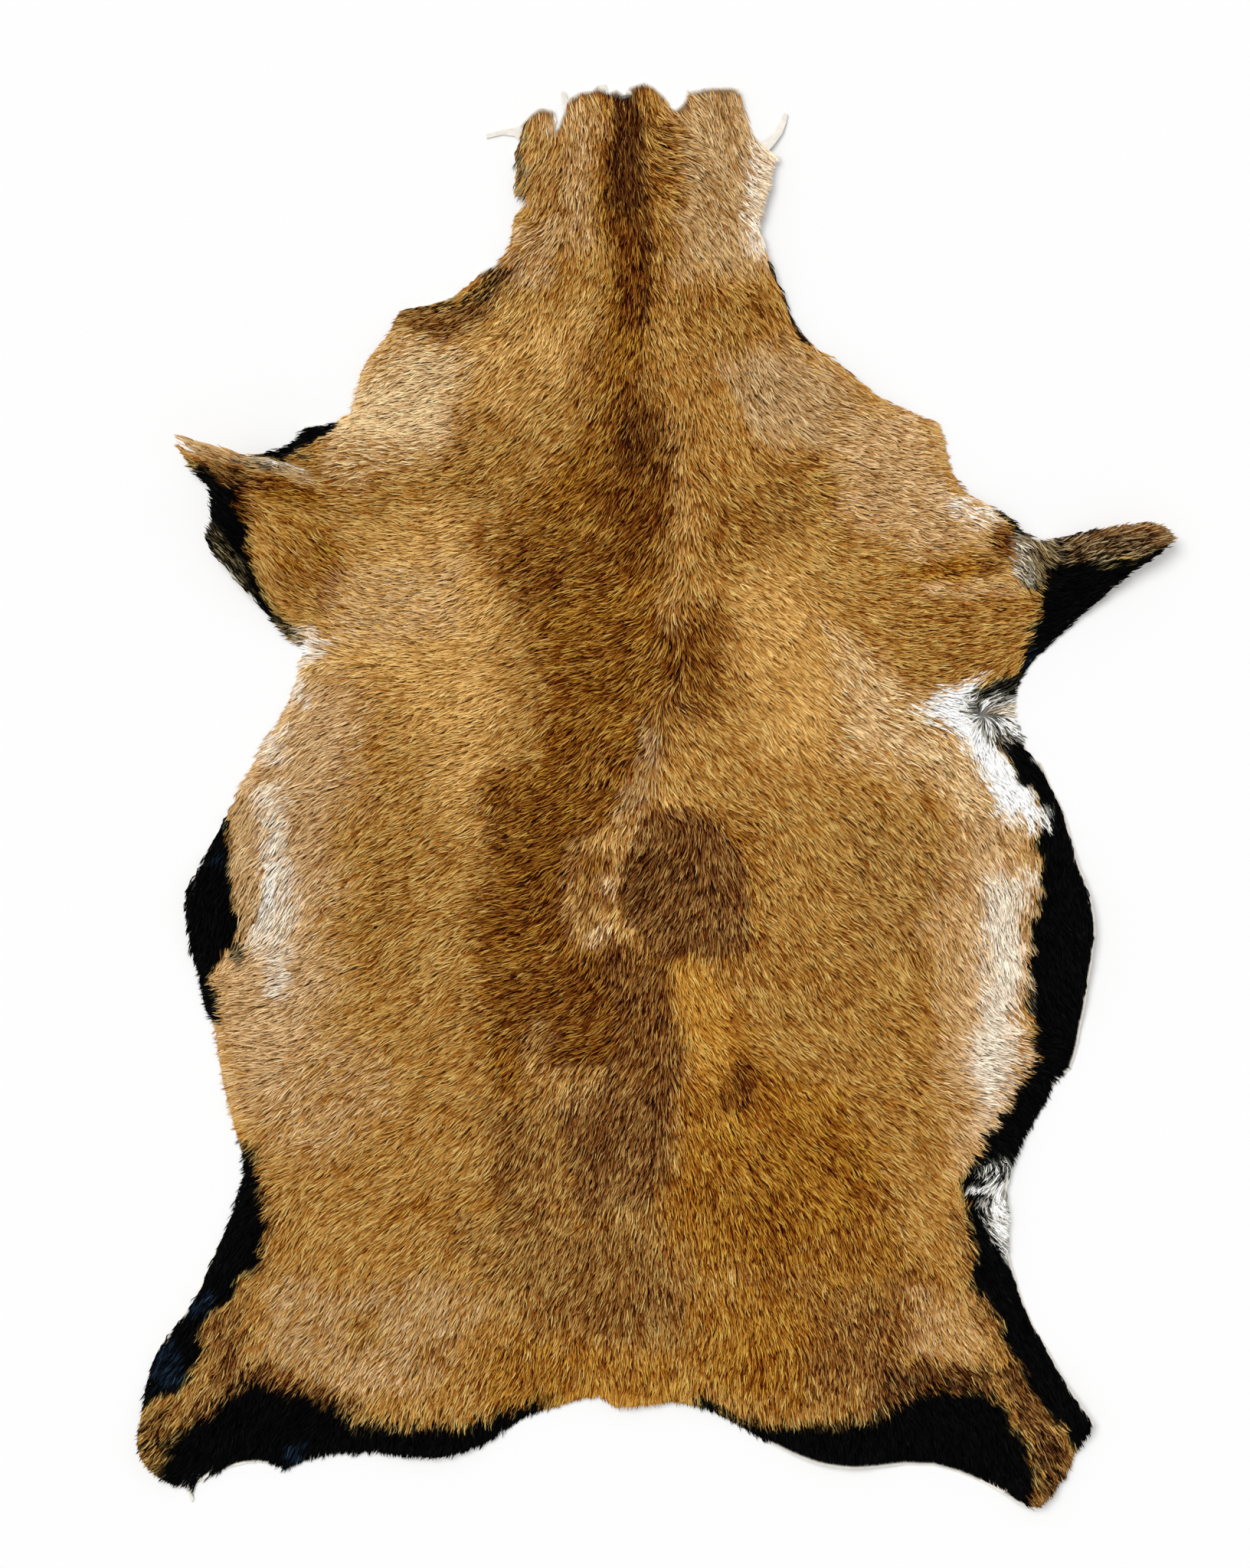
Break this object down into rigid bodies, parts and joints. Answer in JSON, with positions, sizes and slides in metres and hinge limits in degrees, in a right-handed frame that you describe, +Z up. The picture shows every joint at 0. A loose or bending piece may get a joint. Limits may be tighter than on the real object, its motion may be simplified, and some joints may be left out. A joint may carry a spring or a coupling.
{
  "type": "lambskin",
  "caption": "Whole short-haired lambskin spread out flat, hair side up, with neck, forelegs and hind legs, a folded foreleg and lifted edges; a floor or seat covering",
  "frame": {"origin": "middle of the hide's bounding box, on the floor that it lies on", "axes": "+Y points to the neck, +X to the right as seen from above with the neck away, +Z up out of the hair side"},
  "size_m": [0.6518, 0.8974, 0.0254],
  "materials": {
    "coat": "matte",
    "skin": "matte"
  },
  "bodies": {
    "root": {"hide": "coat"}
  },
  "joints": []
}
